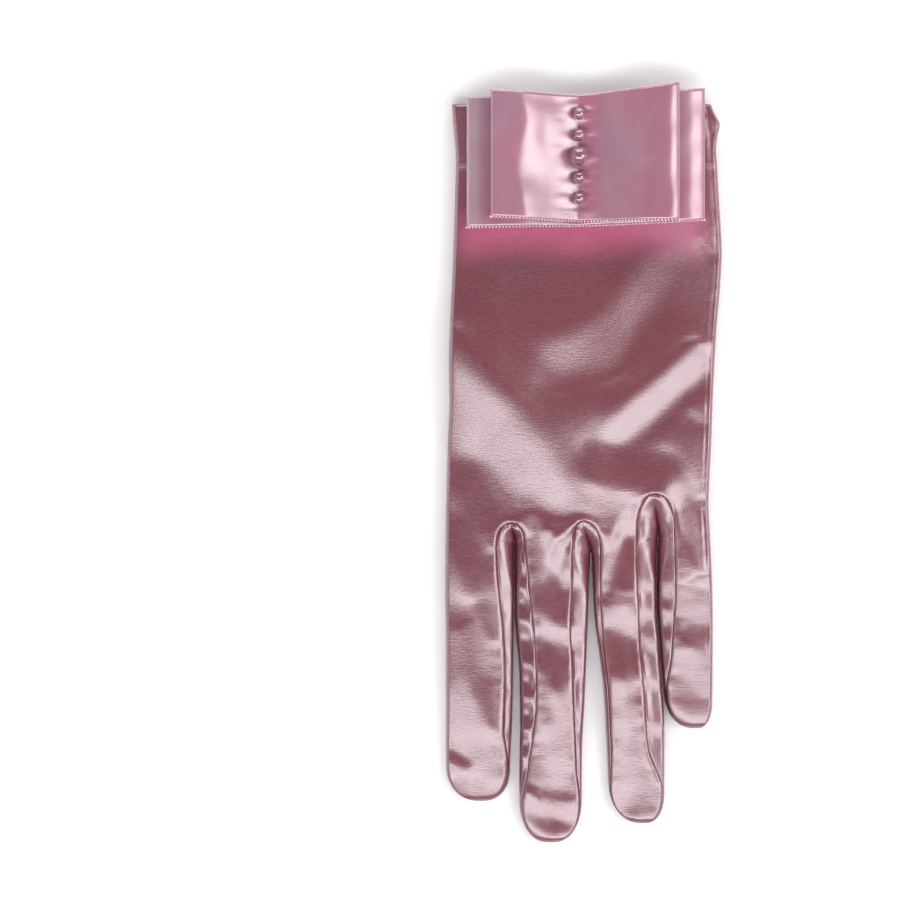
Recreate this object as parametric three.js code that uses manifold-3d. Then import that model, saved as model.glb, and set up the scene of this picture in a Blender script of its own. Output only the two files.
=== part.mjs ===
// Wrist length satin dress glove for a left hand, empty and lying flat with its back up.
// A folded trank makes the hand and the fingers. Three fourchettes wall the sides of the fingers,
// the thumb is folded under the palm, and a double ribbon bow with five pearls is sewn to the cuff.
// Millimetres. +X is towards the little finger, +Y towards the cuff, +Z up from the table.
import * as THREE from "three";
import { mergeVertices } from "three/addons/utils/BufferGeometryUtils.js";
import Module from "manifold-3d";

const wasm = await Module();
wasm.setup();

// Cloth and clearances
const clothWall = 1;
const seamGap = 0.3;
const fingerGap = 0.8;

// Hand and cuff
const handLength = 134; // hem to the crotch of the fingers
const handWidth = 84; // laid flat, at the wrist
const handThick = 11; // over both layers at the knuckles, hollow included
const noseLength = 9; // where the hand closes between the fingers
const hemDepth = 19;
const hemWall = 1.5;

// Fingers and fourchettes
const fingerLength = 97; // crotch to the tip of the middle finger
const fingerThick = 9;
const fingerOverlap = 20; // how far a finger's tube starts inside the hand
const seamInset = 5.4; // from a finger's edge to the fourchette's seam
const fourchetteEnd = 0.93; // share of a finger that its fourchette runs along

// Thumb, folded under the palm
const thumbLength = 60;
const thumbWidth = 18;
const thumbThick = 7;
const thumbAcross = -19; // its middle line
const thumbBehindCrotch = 10;
const thumbHoleLength = 32;
const thumbHoleWidth = 13;

// Bow and pearls
const ribbonWidth = 40;
const ribbonWall = 1;
const backLoopHigh = 5;
const frontLoopHigh = 6;
const largePearl = 6;
const smallPearl = 4;
const pearlAcross = -1.6;
const pearlPitch = 6.6;

// The hand's sections. along is a share of handLength from the hem, left and right are shares of
// handWidth, thick is a share of handThick.
const handRows = [
  { along: 0, left: -0.491, right: 0.489, thick: 0.84 },
  { along: 0.1, left: -0.476, right: 0.496, thick: 0.84 },
  { along: 0.36, left: -0.487, right: 0.517, thick: 0.88 },
  { along: 0.57, left: -0.502, right: 0.491, thick: 0.96 },
  { along: 0.72, left: -0.5, right: 0.48, thick: 1 },
  { along: 0.88, left: -0.51, right: 0.469, thick: 0.98 },
  { along: 1, left: -0.515, right: 0.4725, thick: 0.86 },
];

// The fingers' edges as shares of handWidth, at the crotch and near the tip, and each finger's
// reach as a share of fingerLength.
const fingerRows = [
  { name: "index", rootLeft: -0.515, rootRight: -0.258, tipLeft: -0.513, tipRight: -0.276, reach: 0.861 },
  { name: "middle", rootLeft: -0.258, rootRight: 0.026, tipLeft: -0.236, tipRight: -0.003, reach: 1 },
  { name: "ring", rootLeft: 0.026, rootRight: 0.275, tipLeft: 0.092, tipRight: 0.301, reach: 0.935 },
  { name: "little", rootLeft: 0.275, rootRight: 0.4725, tipLeft: 0.306, tipRight: 0.482, reach: 0.623 },
];

// The fourchettes between neighbouring fingers. The four insets are shares of seamInset, on the
// finger to the left and to the right, and rise is how far the arch reaches up the hand, a share of
// seamInset too.
const fourchetteRows = [
  { name: "index_middle", leftRoot: 0.93, leftTip: 0.35, rightRoot: 0.9, rightTip: 0.5, rise: 0.6 },
  { name: "middle_ring", leftRoot: 1, leftTip: 0.35, rightRoot: 0.45, rightTip: 0.3, rise: 0.8 },
  { name: "ring_little", leftRoot: 1.15, leftTip: 0.45, rightRoot: 0.95, rightTip: 0.4, rise: 2.2 },
];

// Soft ridges and hollows in the back of the glove. across is a share of handWidth and along a
// share of the whole length, at each end. wide and high are shares of handThick, and a negative
// high is a hollow.
const foldRows = [
  { across1: -0.26, along1: 0.31, across2: -0.24, along2: 0.48, wide: 1.4, high: 0.22 },
  { across1: -0.48, along1: 0.33, across2: 0.02, along2: 0.49, wide: 0.95, high: 0.1 },
  { across1: -0.42, along1: 0.5, across2: -0.25, along2: 0.57, wide: 0.8, high: -0.12 },
  { across1: 0.44, along1: 0.32, across2: 0.1, along2: 0.45, wide: 0.75, high: 0.12 },
  { across1: 0.2, along1: 0.22, across2: -0.08, along2: 0.36, wide: 0.8, high: 0.07 },
  { across1: -0.16, along1: 0.66, across2: -0.03, along2: 0.57, wide: 0.4, high: 0.12 },
  { across1: -0.2, along1: 0.57, across2: -0.12, along2: 0.6, wide: 0.5, high: -0.1 },
  { across1: 0.24, along1: 0.52, across2: 0.18, along2: 0.59, wide: 0.4, high: 0.1 },
  { across1: -0.17, along1: 0.7, across2: -0.08, along2: 0.7, wide: 0.35, high: 0.08 },
  { across1: 0.08, along1: 0.7, across2: 0.18, along2: 0.7, wide: 0.35, high: 0.08 },
];

// The bow's loops. left and right are shares of handWidth, and the edges are how far the ribbon's
// upper and lower edge lie from the hem at the left end, the pinch and the right end, as shares of
// ribbonWidth.
const loopRows = {
  back: {
    left: -0.436,
    right: 0.45,
    upper: [0.048, 0.06, 0.118],
    lower: [-0.968, -0.955, -0.91],
  },
  front: {
    left: -0.348,
    right: 0.35,
    upper: [0.094, 0.062, 0.156],
    lower: [-0.89, -0.922, -0.915],
  },
};

const gloveLength = handLength + fingerLength;
const sideHeight = 0.42; // height of a side edge, as a share of the thickness
const topPower = 2.6; // how boxy the upper half of a section is
const underPower = 6;
const pressed = 0.6; // how far the table flattens the underside
const tipRound = 0.62; // a fingertip's round end, as a share of the finger's width
const roundSteps = [0, 0.36, 0.68, 0.93];

const lerp = THREE.MathUtils.lerp;
const soft = (x) => THREE.MathUtils.smoothstep(x, 0, 1);

// A closed mesh as a solid, with its shared corners merged.
function solidOf(geometry) {
  const bare = new THREE.BufferGeometry();
  bare.setAttribute("position", geometry.getAttribute("position"));
  bare.setIndex(geometry.index);
  const merged = mergeVertices(bare, 1e-4);
  const vertProperties = merged.getAttribute("position").array;
  const triVerts = new Uint32Array(merged.index.array);
  return new wasm.Manifold(new wasm.Mesh({ numProp: 3, vertProperties, triVerts }));
}

// A solid as a three.js geometry.
function geometryOf(solid) {
  const mesh = solid.getMesh();
  const geometry = new THREE.BufferGeometry();
  geometry.setAttribute("position", new THREE.BufferAttribute(mesh.vertProperties, 3));
  geometry.setIndex(new THREE.BufferAttribute(mesh.triVerts, 1));
  geometry.computeVertexNormals();
  return geometry;
}

// A solid skinned over rings that run from the cuff towards the fingers. Each ring goes over the
// top from left to right and comes back underneath.
function loft(rings) {
  const sides = rings[0].length;
  const points = rings.flat();
  const faces = [];
  for (let i = 0; i + 1 < rings.length; i++) {
    for (let j = 0; j < sides; j++) {
      const here = i * sides + j;
      const next = i * sides + ((j + 1) % sides);
      faces.push(here, here + sides, next, next, here + sides, next + sides);
    }
  }
  for (const [start, forward] of [[0, false], [points.length - sides, true]]) {
    const centre = points.length;
    const ring = points.slice(start, start + sides);
    points.push(ring.reduce((sum, p) => sum.add(p), new THREE.Vector3()).divideScalar(sides));
    for (let j = 0; j < sides; j++) {
      const a = start + j;
      const b = start + ((j + 1) % sides);
      faces.push(centre, forward ? b : a, forward ? a : b);
    }
  }
  const geometry = new THREE.BufferGeometry().setFromPoints(points);
  geometry.setIndex(faces);
  return solidOf(geometry);
}

// A plan outline pulled straight up from low to high.
function prism(points, low, high) {
  const geometry = new THREE.ExtrudeGeometry(new THREE.Shape(points), {
    depth: high - low,
    bevelEnabled: false,
  });
  geometry.translate(0, 0, low);
  return solidOf(geometry);
}

// A value from a table's column at a place along it, on a smooth curve through the rows.
function follow(rows, column, at) {
  const last = rows.length - 1;
  let i = 0;
  while (i < last - 1 && rows[i + 1].along < at) i++;
  const before = rows[Math.max(i - 1, 0)];
  const a = rows[i];
  const b = rows[i + 1];
  const after = rows[Math.min(i + 2, last)];
  const span = b.along - a.along;
  const t = THREE.MathUtils.clamp((at - a.along) / span, 0, 1);
  const slopeA = ((b[column] - before[column]) / (b.along - before.along || 1)) * span;
  const slopeB = ((after[column] - a[column]) / (after.along - a.along || 1)) * span;
  const t2 = t * t;
  const t3 = t2 * t;
  return (
    a[column] * (2 * t3 - 3 * t2 + 1) +
    b[column] * (3 * t2 - 2 * t3) +
    slopeA * (t3 - 2 * t2 + t) +
    slopeB * (t3 - t2)
  );
}

// Height that the back's folds add at a point.
function foldHeight(x, y) {
  let height = 0;
  for (const fold of foldRows) {
    const from = new THREE.Vector2(fold.across1 * handWidth, -fold.along1 * gloveLength);
    const to = new THREE.Vector2(fold.across2 * handWidth, -fold.along2 * gloveLength);
    const run = to.clone().sub(from);
    const point = new THREE.Vector2(x, y);
    const t = THREE.MathUtils.clamp(point.clone().sub(from).dot(run) / run.lengthSq(), 0, 1);
    const away = point.distanceTo(from.addScaledVector(run, t)) / (fold.wide * handThick);
    height += fold.high * handThick * Math.exp(-away * away);
  }
  return height;
}

// The thumb lies under the palm, behind the index and the middle finger.
const thumbTipY = thumbBehindCrotch - handLength;
const thumbBaseY = thumbTipY + thumbLength;
const thumbHoleY = thumbBaseY - thumbHoleLength / 2 - 3 * clothWall;

// Crosswise places of a ring's points from -1 to 1, closer together towards the edges.
function spread(count) {
  return Array.from({ length: count + 1 }, (_, i) => {
    const v = (2 * i) / count - 1;
    return (v + Math.sin((Math.PI / 2) * v)) / 2;
  });
}

const bulge = (u, power) => Math.pow(Math.max(1 - Math.pow(Math.abs(u), power), 0), 1 / power);

// The upper surface of a flattened tube at a crosswise place u.
function topHeight({ thick, inset, scale }, u, folds) {
  const side = sideHeight * thick;
  return side + (thick - side - inset + folds) * bulge(u, topPower) * scale;
}

function underHeight({ thick, inset, scale }, u) {
  const side = sideHeight * thick;
  const drop = (side - inset + pressed) * bulge(u, underPower) * scale;
  return Math.max(side - drop, inset);
}

// One ring of a flattened cloth tube on the table. A plain one has no folds on top.
function tubeRing(section, y, count, plain = false) {
  const { left, right, inset, scale } = section;
  const centre = (left + right) / 2;
  const half = (right - left) / 2 - inset;
  const at = (u) => centre + half * u * (section.taper ? scale : 1);
  const places = spread(count);
  const over = places.map((u) => {
    const folds = plain ? 0 : foldHeight(at(u), y);
    return new THREE.Vector3(at(u), y, topHeight(section, u, folds));
  });
  const under = places
    .slice(1, -1)
    .reverse()
    .map((u) => new THREE.Vector3(at(u), y, underHeight(section, u)));
  return [...over, ...under];
}

function handSection(along, inset, scale = 1) {
  const share = THREE.MathUtils.clamp(along / handLength, 0, 1);
  return {
    left: follow(handRows, "left", share) * handWidth,
    right: follow(handRows, "right", share) * handWidth,
    thick: follow(handRows, "thick", share) * handThick,
    inset,
    scale,
  };
}

// The hand as one solid, from a little past the cuff where over is positive.
function handSolid(inset, over) {
  const end = handLength - inset;
  const nose = noseLength - inset;
  const stations = [];
  const plain = end - nose;
  const steps = 14;
  for (let i = 0; i <= steps; i++) stations.push([lerp(-over, plain, i / steps), 1]);
  for (const angle of roundSteps.slice(1)) {
    const turn = (angle * Math.PI) / 2;
    stations.push([plain + nose * Math.sin(turn), Math.cos(turn)]);
  }
  return loft(stations.map(([along, scale]) => tubeRing(handSection(along, inset, scale), -along, 14)));
}

// The hollow behind the turned hem is a little smaller than the hand's.
function hemHollow() {
  const stations = [-2, hemDepth / 2, hemDepth];
  return loft(stations.map((along) => tubeRing(handSection(along, hemWall), -along, 14)));
}

function handHollow() {
  const past = handSolid(clothWall, 0);
  const cuff = prism(
    [
      new THREE.Vector2(-handWidth, -hemDepth),
      new THREE.Vector2(handWidth, -hemDepth),
      new THREE.Vector2(handWidth, handWidth),
      new THREE.Vector2(-handWidth, handWidth),
    ],
    -handThick,
    3 * handThick,
  );
  return past.subtract(cuff).add(hemHollow());
}

// A finger's left and right edge at a share of its length, before the tip rounds it off. The
// glove's outer edges run on from the hand, and the others stand clear of the next finger.
function fingerEdges(finger, t) {
  const left = lerp(finger.rootLeft, finger.tipLeft, t) * handWidth;
  const right = lerp(finger.rootRight, finger.tipRight, t) * handWidth;
  return {
    left: finger === fingerRows[0] ? left : left + fingerGap / 2,
    right: finger === fingerRows.at(-1) ? right : right - fingerGap / 2,
  };
}

// The same inside the hand, where the tube stays within the hand's outline.
function rootEdges(finger, along) {
  const edges = fingerEdges(finger, 0);
  const hand = handSection(handLength + along, 0);
  return { left: Math.max(edges.left, hand.left), right: Math.min(edges.right, hand.right) };
}

const reachOf = (finger) => finger.reach * fingerLength;

// How much of its width a finger keeps at a place, with its end pulled in by inset.
function tipScale(finger, along, inset) {
  const edges = fingerEdges(finger, 1);
  const round = (edges.right - edges.left) * tipRound - inset;
  const into = (along - (reachOf(finger) - inset - round)) / round;
  return into <= 0 ? 1 : Math.sqrt(Math.max(1 - into * into, 0));
}

function fingerSolid(finger, inset) {
  const end = reachOf(finger) - inset;
  const edges = fingerEdges(finger, 1);
  const round = (edges.right - edges.left) * tipRound - inset;
  const straight = end - round;
  const alongs = [-fingerOverlap + inset, -fingerOverlap / 2];
  const steps = 5;
  for (let i = 0; i <= steps; i++) alongs.push((straight * i) / steps);
  for (const angle of roundSteps.slice(1)) alongs.push(straight + round * Math.sin((angle * Math.PI) / 2));
  return loft(
    alongs.map((along) => {
      const t = THREE.MathUtils.clamp(along / reachOf(finger), 0, 1);
      const scale = tipScale(finger, along, inset);
      const edges = along < 0 ? rootEdges(finger, along) : fingerEdges(finger, t);
      const thick = fingerThick * lerp(0.55, 1, soft(1 + along / fingerOverlap));
      const section = { ...edges, thick, inset, scale, taper: true };
      return tubeRing(section, -handLength - along, 10);
    }),
  );
}

// The plan strip of one finger that its fourchette takes, on its right side (+1) or left (-1).
function fourchetteStrip(finger, side, rootInset, tipInset, grow) {
  const seam = [];
  const outside = [];
  const steps = 6;
  for (let i = 0; i <= steps; i++) {
    const share = (fourchetteEnd * i) / steps;
    const along = share * reachOf(finger) + (i === steps ? grow : 0);
    const { left, right } = fingerEdges(finger, share);
    const centre = (left + right) / 2;
    const edge = centre + side * ((right - left) / 2) * tipScale(finger, along, 0);
    const inset = lerp(rootInset, tipInset, i / steps) * seamInset + grow;
    seam.push(new THREE.Vector2(edge - side * inset, -handLength - along));
    outside.push(new THREE.Vector2(side > 0 ? right + fingerGap / 2 : left - fingerGap / 2, -handLength - along));
  }
  return prism([...seam, ...outside.reverse()], -handThick, 3 * handThick);
}

// Everything of the glove's shell that one fourchette takes. grow widens it by the seam's gap.
function fourchetteZone(row, left, right, grow) {
  const onLeft = fourchetteStrip(left, 1, row.leftRoot, row.leftTip, grow);
  const onRight = fourchetteStrip(right, -1, row.rightRoot, row.rightTip, grow);
  const archLeft = fingerEdges(left, 0).right - row.leftRoot * seamInset - grow;
  const archRight = fingerEdges(right, 0).left + row.rightRoot * seamInset + grow;
  const archWide = (archRight - archLeft) / 2;
  const archRise = row.rise * seamInset + grow;
  const arch = [];
  const steps = 12;
  for (let i = 0; i <= steps; i++) {
    const turn = (Math.PI * i) / steps;
    arch.push(
      new THREE.Vector2(
        (archLeft + archRight) / 2 - archWide * Math.cos(turn),
        -handLength + archRise * Math.sin(turn),
      ),
    );
  }
  const foot = -handLength - seamInset / 2;
  arch.push(new THREE.Vector2(archRight, foot), new THREE.Vector2(archLeft, foot));
  return onLeft.add(onRight).add(prism(arch, -handThick, 3 * handThick));
}

// The oval through which the thumb's hollow joins the hand's.
function thumbHole(low, high) {
  const oval = [];
  const steps = 20;
  for (let i = 0; i < steps; i++) {
    const turn = (2 * Math.PI * i) / steps;
    const x = thumbAcross + (thumbHoleWidth / 2) * Math.cos(turn);
    oval.push(new THREE.Vector2(x, thumbHoleY + (thumbHoleLength / 2) * Math.sin(turn)));
  }
  return prism(oval, low, high);
}

// The thumb is a flat bag with both ends round. A bed is the same shape, but with sides that go
// straight down past the table.
function thumbSolid(inset, bed = false) {
  const half = thumbLength / 2 - inset;
  const round = thumbWidth / 2 - inset;
  const ends = roundSteps.slice(1).map((angle) => (angle * Math.PI) / 2);
  const stations = [
    ...ends.map((turn) => [-(half - round) - round * Math.sin(turn), Math.cos(turn)]).reverse(),
    [-(half - round), 1],
    [0, 1],
    [half - round, 1],
    ...ends.map((turn) => [half - round + round * Math.sin(turn), Math.cos(turn)]),
  ];
  const middleY = (thumbTipY + thumbBaseY) / 2;
  const section = { thick: thumbThick, inset, scale: 1, taper: true };
  section.left = thumbAcross - thumbWidth / 2;
  section.right = thumbAcross + thumbWidth / 2;
  return loft(
    stations.map(([along, scale]) => {
      const ring = tubeRing({ ...section, scale }, middleY - along, 10, true);
      ring.slice(11).forEach((point) => bed && (point.z = -handThick));
      return ring;
    }),
  );
}

// The sewn glove without its thumb: outside less hollow, with a bed pressed in for the thumb.
function gloveShell() {
  const outside = fingerRows
    .reduce((all, finger) => all.add(fingerSolid(finger, 0)), handSolid(0, 0))
    .subtract(thumbSolid(-seamGap, true));
  const hollow = fingerRows
    .reduce((all, finger) => all.add(fingerSolid(finger, clothWall)), handHollow())
    .subtract(thumbSolid(-seamGap - clothWall, true));
  return outside.subtract(hollow);
}

const pieces = [];
const shell = gloveShell();
let trank = shell.subtract(thumbHole(-handThick, thumbThick + 3 * clothWall));
fourchetteRows.forEach((row, i) => {
  const [left, right] = [fingerRows[i], fingerRows[i + 1]];
  const taken = fourchetteZone(row, left, right, 0);
  pieces.push({ name: `fourchette_${row.name}`, solid: shell.intersect(taken), material: "satin" });
  trank = trank.subtract(fourchetteZone(row, left, right, seamGap));
});
pieces.unshift({ name: "trank", solid: trank, material: "satin" });

const thumb = thumbSolid(0)
  .subtract(thumbSolid(clothWall))
  .subtract(thumbHole(thumbThick / 2, 2 * thumbThick));
pieces.push({ name: "thumb", solid: thumb, material: "satin" });

// What the bow lies on: the hand's back, carried on level past the hem.
function handTop(x, y) {
  const along = Math.max(-y, 0);
  const section = handSection(along, 0);
  const centre = (section.left + section.right) / 2;
  const u = THREE.MathUtils.clamp((x - centre) / ((section.right - section.left) / 2), -1, 1);
  return topHeight(section, u, foldHeight(x, -along));
}

// One of the bow's flattened loops of ribbon, pinched where it is sewn down.
function bowLoop(row, high, rest) {
  const left = row.left * handWidth;
  const right = row.right * handWidth;
  const pinched = 2 * ribbonWall + seamGap;
  const edge = ([atLeft, atPinch, atRight], x) =>
    ribbonWidth * (x < 0 ? lerp(atPinch, atLeft, soft(x / left)) : lerp(atPinch, atRight, soft(x / right)));
  const yAt = (x, v) => lerp(edge(row.upper, x), edge(row.lower, x), v);
  const along = (x) => (x < 0 ? x / left : x / right);
  const roundEnd = (x) => Math.sqrt(Math.max(1 - Math.pow(Math.min(along(x), 1), 12), 0));
  const bottom = (x, y) => rest(x, y) + 0.4 * high * (1 - roundEnd(x));
  const swell = (x) => pinched + (high - pinched) * soft(along(x) / 0.6);
  const top = (x, y) => bottom(x, y) + swell(x) * roundEnd(x);

  const outer = [0, 0.33, 0.67, 1].map((v) => {
    const places = spread(14).map((u) => lerp(left, right, (u + 1) / 2));
    const over = places.map((x) => new THREE.Vector3(x, yAt(x, v), top(x, yAt(x, v))));
    const under = places.slice(1, -1).reverse();
    return [...over, ...under.map((x) => new THREE.Vector3(x, yAt(x, v), bottom(x, yAt(x, v))))];
  });

  // Each eye of the loop is open at both edges of the ribbon.
  const eye = (from, to) =>
    loft(
      [-0.05, 0.33, 0.67, 1.05].map((v) => {
        const point = (u, up) => {
          const x = lerp(from, to, (u + 1) / 2);
          const y = yAt(x, v);
          const middle = (top(x, y) + bottom(x, y)) / 2;
          const half = Math.max((top(x, y) - bottom(x, y)) / 2 - ribbonWall, seamGap / 3);
          return new THREE.Vector3(x, y, middle + up * half * bulge(u, 4));
        };
        const places = spread(8);
        const under = places.slice(1, -1).reverse();
        return [...places.map((u) => point(u, 1)), ...under.map((u) => point(u, -1))];
      }),
    );
  const stitched = 2.5 * ribbonWall;
  const solid = loft(outer)
    .subtract(eye(left + ribbonWall, -stitched))
    .subtract(eye(stitched, right - ribbonWall));
  return { solid, top };
}

const backLoop = bowLoop(loopRows.back, backLoopHigh, (x, y) => handTop(x, y) + seamGap);
const frontLoop = bowLoop(loopRows.front, frontLoopHigh, (x, y) => backLoop.top(x, y) + seamGap);
pieces.push({ name: "bow_loop_back", solid: backLoop.solid, material: "ribbon" });
pieces.push({ name: "bow_loop_front", solid: frontLoop.solid, material: "ribbon" });

// Five pearls in a column down the pinch, the large one in the middle.
const pearlMiddleY = -0.415 * ribbonWidth;
for (let i = 0; i < 5; i++) {
  const size = i === 2 ? largePearl : smallPearl;
  const y = pearlMiddleY + (2 - i) * pearlPitch;
  const ball = new THREE.SphereGeometry(size / 2, 12, 8);
  ball.rotateX(Math.PI / 2);
  ball.translate(pearlAcross, y, frontLoop.top(pearlAcross, y) + seamGap + size / 2);
  pieces.push({ name: `pearl_${i + 1}`, solid: solidOf(ball), material: "pearl" });
}

const materials = {
  satin: new THREE.MeshStandardMaterial({ color: 0xb9788a, roughness: 0.35, metalness: 0 }),
  ribbon: new THREE.MeshStandardMaterial({ color: 0xd99bb0, roughness: 0.3, metalness: 0 }),
  pearl: new THREE.MeshStandardMaterial({ color: 0xd9a9b4, roughness: 0.15, metalness: 0.2 }),
};

// The origin is the middle of the space that the glove takes up on the table.
const glove = new THREE.Group();
for (const { name, solid, material } of pieces) {
  const mesh = new THREE.Mesh(geometryOf(solid), materials[material]);
  mesh.name = name;
  glove.add(mesh);
}
const space = new THREE.Box3().setFromObject(glove);
const middle = space.getCenter(new THREE.Vector3());
glove.position.set(-middle.x, -middle.y, -space.min.z);

export default glove;
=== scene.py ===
import math

import bmesh
import bpy
import numpy as np
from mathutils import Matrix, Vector, kdtree, noise
from mathutils.bvhtree import BVHTree


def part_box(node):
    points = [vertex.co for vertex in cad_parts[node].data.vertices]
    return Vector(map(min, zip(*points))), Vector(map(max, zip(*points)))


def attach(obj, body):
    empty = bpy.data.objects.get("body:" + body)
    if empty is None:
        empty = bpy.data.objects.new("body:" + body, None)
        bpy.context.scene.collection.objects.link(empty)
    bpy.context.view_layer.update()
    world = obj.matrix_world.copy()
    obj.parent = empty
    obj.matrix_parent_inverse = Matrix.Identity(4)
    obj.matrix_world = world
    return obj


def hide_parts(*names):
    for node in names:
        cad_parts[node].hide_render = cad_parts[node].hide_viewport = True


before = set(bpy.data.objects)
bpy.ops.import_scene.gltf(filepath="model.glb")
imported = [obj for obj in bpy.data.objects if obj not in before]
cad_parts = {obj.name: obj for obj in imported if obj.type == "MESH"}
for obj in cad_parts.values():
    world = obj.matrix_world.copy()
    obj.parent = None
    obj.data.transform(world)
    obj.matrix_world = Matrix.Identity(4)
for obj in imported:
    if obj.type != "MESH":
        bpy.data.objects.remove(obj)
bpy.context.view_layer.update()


# Table, camera and lights
# The glove lies on a plain white table and is seen from straight above. The main light is a long
# softbox beyond the fingertips, which the satin mirrors. Weaker ones stand at the other three sides.
class Socket:
    """A value in a material's node tree, with arithmetic."""

    def __init__(self, tree, socket):
        self.tree, self.socket = tree, socket

    def node(self, kind, settings=(), inputs=(), out=0):
        """One output of a new node with these settings, and values or links in its sockets."""
        made = self.tree.nodes.new(kind)
        for name, value in dict(settings).items():
            setattr(made, name, value)
        for name, value in dict(inputs).items():
            if isinstance(value, Socket):
                self.tree.links.new(value.socket, made.inputs[name])
            else:
                made.inputs[name].default_value = value
        return Socket(self.tree, made.outputs[out])

    def math(self, operation, *values):
        return self.node("ShaderNodeMath", {"operation": operation}, dict(enumerate(values)))

    def __add__(self, other):
        return self.math("ADD", self, other)

    def __sub__(self, other):
        return self.math("SUBTRACT", self, other)

    def __rsub__(self, other):
        return self.math("SUBTRACT", other, self)

    def __mul__(self, other):
        return self.math("MULTIPLY", self, other)

    __radd__, __rmul__ = __add__, __mul__

    def between(self, low, high):
        """0 below low and 1 above high, with a soft step between them."""
        settings = {"interpolation_type": "SMOOTHSTEP"}
        inputs = {"Value": self, "From Min": low, "From Max": high}
        return self.node("ShaderNodeMapRange", settings, inputs)

    def mix(self, low, high):
        """The colour low where this is 0 and high where it is 1."""
        ends = {
            name: value if isinstance(value, Socket) else (*value, 1)
            for name, value in ((6, low), (7, high))
        }
        return self.node("ShaderNodeMix", {"data_type": "RGBA"}, {0: self, **ends}, out=2)


def material(name, **constants):
    """A new material, its Principled shader's inputs, and a start for expressions."""
    made = bpy.data.materials.new(name)
    made.use_nodes = True
    shader = made.node_tree.nodes["Principled BSDF"]
    for socket, value in constants.items():
        shader.inputs[socket.replace("_", " ")].default_value = value
    start = Socket(made.node_tree, None)
    return made, shader, start


def feed(shader, start, **values):
    """Links values that change over the surface to the shader's inputs."""
    for name, value in values.items():
        start.tree.links.new(value.socket, shader.inputs[name.replace("_", " ")])


def place_on(start, scale=(1, 1, 1)):
    """A place on the object in millimetres, stretched by scale."""
    inputs = {"Vector": start.node("ShaderNodeTexCoord", out=3), "Scale": tuple(1000 * s for s in scale)}
    return start.node("ShaderNodeMapping", inputs=inputs)


def speckle(start, place, scale, detail=2.0):
    """Soft noise, 0 to 1, with scale lumps to a millimetre."""
    inputs = {"Vector": place, "Scale": scale, "Detail": detail, "Roughness": 0.5}
    return start.node("ShaderNodeTexNoise", inputs=inputs)


# The picture is 900 pixels wide and shows 0.3125 mm of the cloth in each. Then the place under its
# middle, and the heights of the camera and the cloth.
picture_wide = 900 * 0.0003125
picture_middle = (-0.0419, 0.00425)
camera_height = 1.4
cloth_height = 0.008

camera = bpy.data.objects.new("camera", bpy.data.cameras.new("camera"))
bpy.context.scene.collection.objects.link(camera)
camera.location = (*picture_middle, camera_height)
camera.data.sensor_fit = "HORIZONTAL"
camera.data.angle = 2 * math.atan(picture_wide / 2 / (camera_height - cloth_height))
camera.data.clip_end = 20
bpy.context.scene.camera = camera
bpy.context.scene.view_settings.view_transform = "Standard"


def softbox(name, at, width, depth, power, colour=(1, 1, 1)):
    """A rectangular light that faces the glove."""
    lamp = bpy.data.lights.new(name, "AREA")
    lamp.shape, lamp.size, lamp.size_y = "RECTANGLE", width, depth
    lamp.energy, lamp.color = power, colour
    made = bpy.data.objects.new(name, lamp)
    made.location = at
    made.rotation_euler = Vector(at).to_track_quat("Z", "Y").to_euler()
    bpy.context.scene.collection.objects.link(made)


softbox("light_below", (-0.05, -1.15, 2.25), 4.8, 0.95, 76.0, (0.985, 0.965, 1.0))
softbox("light_right", (1.75, 0.0, 1.75), 1.0, 1.4, 24.0, (1.0, 0.975, 1.0))
softbox("light_left", (-2.8, 0.3, 0.8), 2.4, 1.2, 9.0)
softbox("light_above", (0.0, 2.6, 1.2), 3.0, 1.6, 52.0)

world = bpy.data.worlds.new("studio")
world.use_nodes = True
start = Socket(world.node_tree, None)
up = start.node("ShaderNodeSeparateXYZ", inputs={0: start.node("ShaderNodeTexCoord")}, out=2)
sky = up.between(0.15, 0.8).mix((0.55, 0.53, 0.55), (0.12, 0.117, 0.12))
feed(world.node_tree.nodes["Background"], start, Color=sky)
bpy.context.scene.world = world

table_paint, shader, start = material("table_white", Roughness=0.9)
grain = speckle(start, place_on(start), 0.4)
feed(shader, start, Base_Color=grain.mix((0.93, 0.93, 0.93), (0.96, 0.96, 0.96)))
table_mesh = bpy.data.meshes.new("table")
table_corners = [(-3, -3, 0), (3, -3, 0), (3, 3, 0), (-3, 3, 0)]
table_mesh.from_pydata(table_corners, [], [(0, 1, 2, 3)])
table_mesh.materials.append(table_paint)
table = bpy.data.objects.new("table", table_mesh)
bpy.context.scene.collection.objects.link(table)


# Trank and fourchettes
# Thin satin, cut as one piece that folds at the index finger's side and makes the backs and fronts
# of hand and fingers. Forked strips are sewn between the fingers, with the seams turned inwards.
hem_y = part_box("trank")[1].y
middle_from_side = 0.04326
middle_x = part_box("trank")[0].x + middle_from_side
cloth_thick = 0.0004


def curve(rows, at):
    """A smooth line through a table of (place, value)."""
    places, values = np.array(rows, float).T
    slopes = np.gradient(values, places)
    at = np.clip(at, places[0], places[-1])
    i = np.clip(np.searchsorted(places, at) - 1, 0, len(places) - 2)
    span = places[i + 1] - places[i]
    t = (at - places[i]) / span
    return (
        values[i] * (1 + 2 * t) * (1 - t) ** 2
        + values[i + 1] * t * t * (3 - 2 * t)
        + slopes[i] * span * t * (1 - t) ** 2
        - slopes[i + 1] * span * t * t * (1 - t)
    )


def soft(t):
    """0 up to 0 and 1 from 1 on, with a soft step between them."""
    t = np.clip(t, 0, 1)
    return t * t * (3 - 2 * t)


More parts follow.
